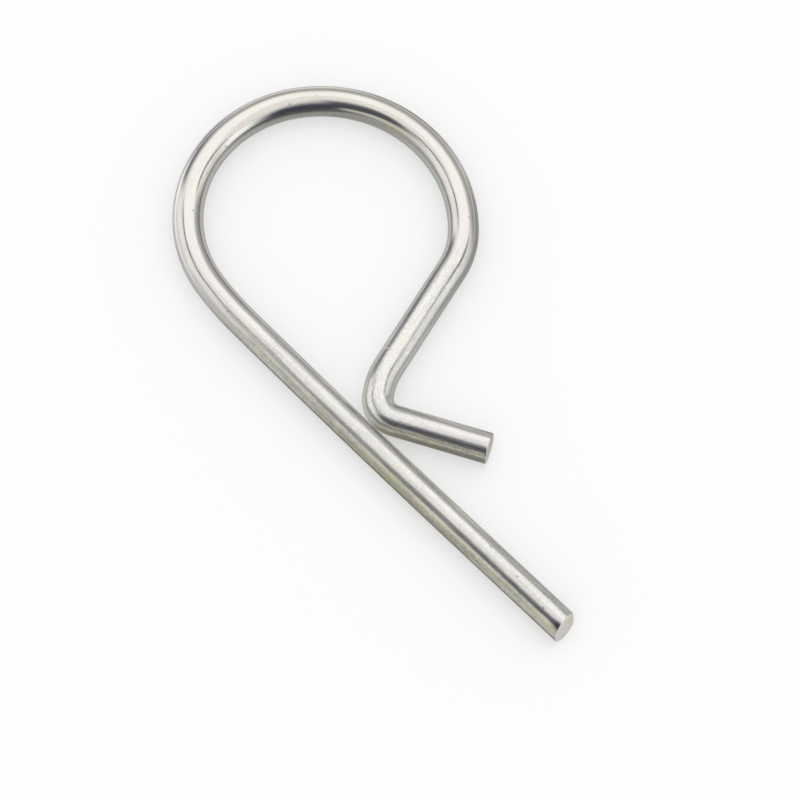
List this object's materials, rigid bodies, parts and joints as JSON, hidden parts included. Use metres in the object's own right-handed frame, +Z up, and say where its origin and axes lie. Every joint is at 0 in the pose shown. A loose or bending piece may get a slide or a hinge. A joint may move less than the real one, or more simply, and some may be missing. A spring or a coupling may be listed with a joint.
{
  "type": "hitch r clip pin",
  "caption": "R-shaped retaining clip bent from one length of round zinc-plated spring wire: a straight leg, a round loop and an arm whose nose springs against the leg.",
  "frame": {"origin": "middle of the clip's length and width, on the surface it lies on", "axes": "+X along the straight leg to its free end, +Y to the loop's side of the leg, +Z up from the surface the clip lies flat on"},
  "size_m": [0.0806, 0.039, 0.004],
  "materials": {
    "plated_wire": "bright zinc plate, clear passivate with a faint yellow-green and pink sheen"
  },
  "bodies": {
    "root": {"clip_wire": "plated_wire"}
  },
  "joints": []
}
